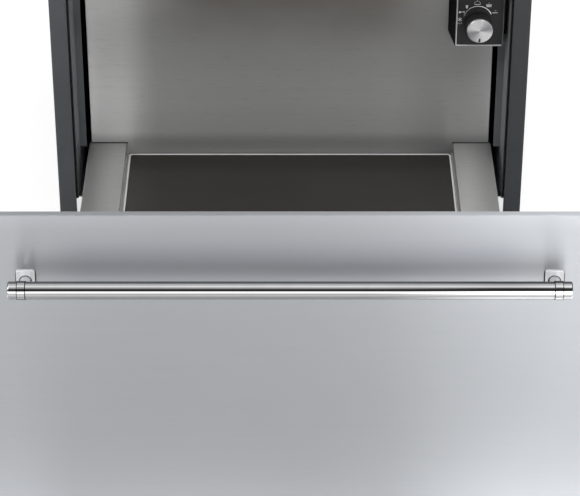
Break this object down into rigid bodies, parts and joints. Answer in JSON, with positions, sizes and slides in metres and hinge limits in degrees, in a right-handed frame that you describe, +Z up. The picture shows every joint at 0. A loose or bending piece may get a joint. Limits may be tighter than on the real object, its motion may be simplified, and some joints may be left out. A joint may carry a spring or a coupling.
{
  "type": "countertop warming drawer",
  "caption": "Self-standing warming drawer: insulated grey housing, wide stainless front with bar handle, heated glass floor on full-extension runners, regulator knob.",
  "frame": {"origin": "centre of the whole outline with the drawer fully out, on the plane that the feet stand on; it lies 10 mm behind the housing's front edge", "axes": "+Z up, the drawer opens towards -Y, +X to the right of someone who faces it"},
  "size_m": [0.597, 1.0556, 0.366],
  "materials": {
    "shell_grey": "fine-textured dark grey powder coat",
    "galvanised": "zinc-coated sheet",
    "liner_steel": "dark enamelled steel liner",
    "runner_steel": "zinc-plated runner profile",
    "front_stainless": "horizontally brushed stainless steel",
    "satin_stainless": "satin stainless steel",
    "control_face": "black satin control box",
    "white_coat": "white powder coat, also the print round the knob",
    "polished_handle": "polished stainless steel",
    "dark_glass": "dark glass-ceramic, smooth",
    "trim_light": "light anodised trim",
    "spreader": "mill-finish sheet",
    "element": "amber heating mat",
    "wool": "mineral fibre board",
    "gasket_rubber": "matt silicone",
    "knob_black": "satin black",
    "knob_metal": "spun aluminium",
    "mark_black": "black filled groove",
    "shaft_steel": "turned steel",
    "screw_steel": "zinc-plated screws",
    "black_plastic": "black moulding",
    "cream_plastic": "pale moulding",
    "pin_brass": "plated contact",
    "glide_nylon": "white nylon glide"
  },
  "bodies": {
    "housing": {"base_plate": "galvanised", "ceiling_liner": "galvanised", "control_box": "control_face", "feet": "gasket_rubber", "floor_beams": "galvanised", "floor_liner": "galvanised", "foot_screws": "screw_steel", "inlet_pins": "pin_brass", "insulation_left": "wool", "insulation_rear": "wool", "insulation_right": "wool", "insulation_top": "wool", "liner_left": "liner_steel", "liner_right": "liner_steel", "plinth_rail": "white_coat", "power_inlet": "black_plastic", "power_unit": "black_plastic", "rear_cover": "galvanised", "rear_liner": "galvanised", "rear_screws": "screw_steel", "regulator": "black_plastic", "runner_fixed_left": "runner_steel", "runner_fixed_right": "runner_steel", "side_shell_left": "shell_grey", "side_shell_right": "shell_grey", "terminal_block": "cream_plastic", "top_cover": "shell_grey", "top_rail": "shell_grey"},
    "drawer": {"drawer_pan": "galvanised", "floor_insulation": "wool", "front_carrier": "satin_stainless", "front_gasket": "gasket_rubber", "front_insulation": "wool", "front_screws": "screw_steel", "front_skin": "front_stainless", "glass_frame": "trim_light", "handle_bar": "polished_handle", "handle_bracket_left": "polished_handle", "handle_bracket_right": "polished_handle", "handle_caps": "polished_handle", "handle_screws": "screw_steel", "heat_spreader": "spreader", "heating_element": "element", "ledge_left": "satin_stainless", "ledge_right": "satin_stainless", "rear_wall": "satin_stainless", "runner_drawer_left": "runner_steel", "runner_drawer_right": "runner_steel", "temperature_sensor": "screw_steel", "wall_ribs": "galvanised", "warming_glass": "dark_glass"},
    "runner_left": {"runner_glides_left": "glide_nylon", "runner_mid_left": "runner_steel"},
    "runner_right": {"runner_glides_right": "glide_nylon", "runner_mid_right": "runner_steel"},
    "knob": {"knob_body": "knob_black", "knob_cap": "knob_metal", "knob_mark": "mark_black", "knob_shaft": "shaft_steel"}
  },
  "joints": [
    {"name": "drawer_slide", "type": "slide", "parent": "housing", "child": "drawer", "axis": [0, -1, 0], "range_m": [-0.448, 0]},
    {"name": "runner_left_slide", "type": "slide", "parent": "housing", "child": "runner_left", "axis": [0, -1, 0], "range_m": [-0.224, 0]},
    {"name": "runner_right_slide", "type": "slide", "parent": "housing", "child": "runner_right", "axis": [0, -1, 0], "range_m": [-0.224, 0]},
    {"name": "knob_turn", "type": "hinge", "parent": "housing", "child": "knob", "pos_m": [0.2136, -0.00965, 0.3055], "axis": [0, 1, 0], "range_deg": [0, 270]}
  ],
  "couplings": [
    {"joint": "runner_left_slide", "follows": "drawer_slide", "ratio": 0.5},
    {"joint": "runner_right_slide", "follows": "drawer_slide", "ratio": 0.5}
  ]
}
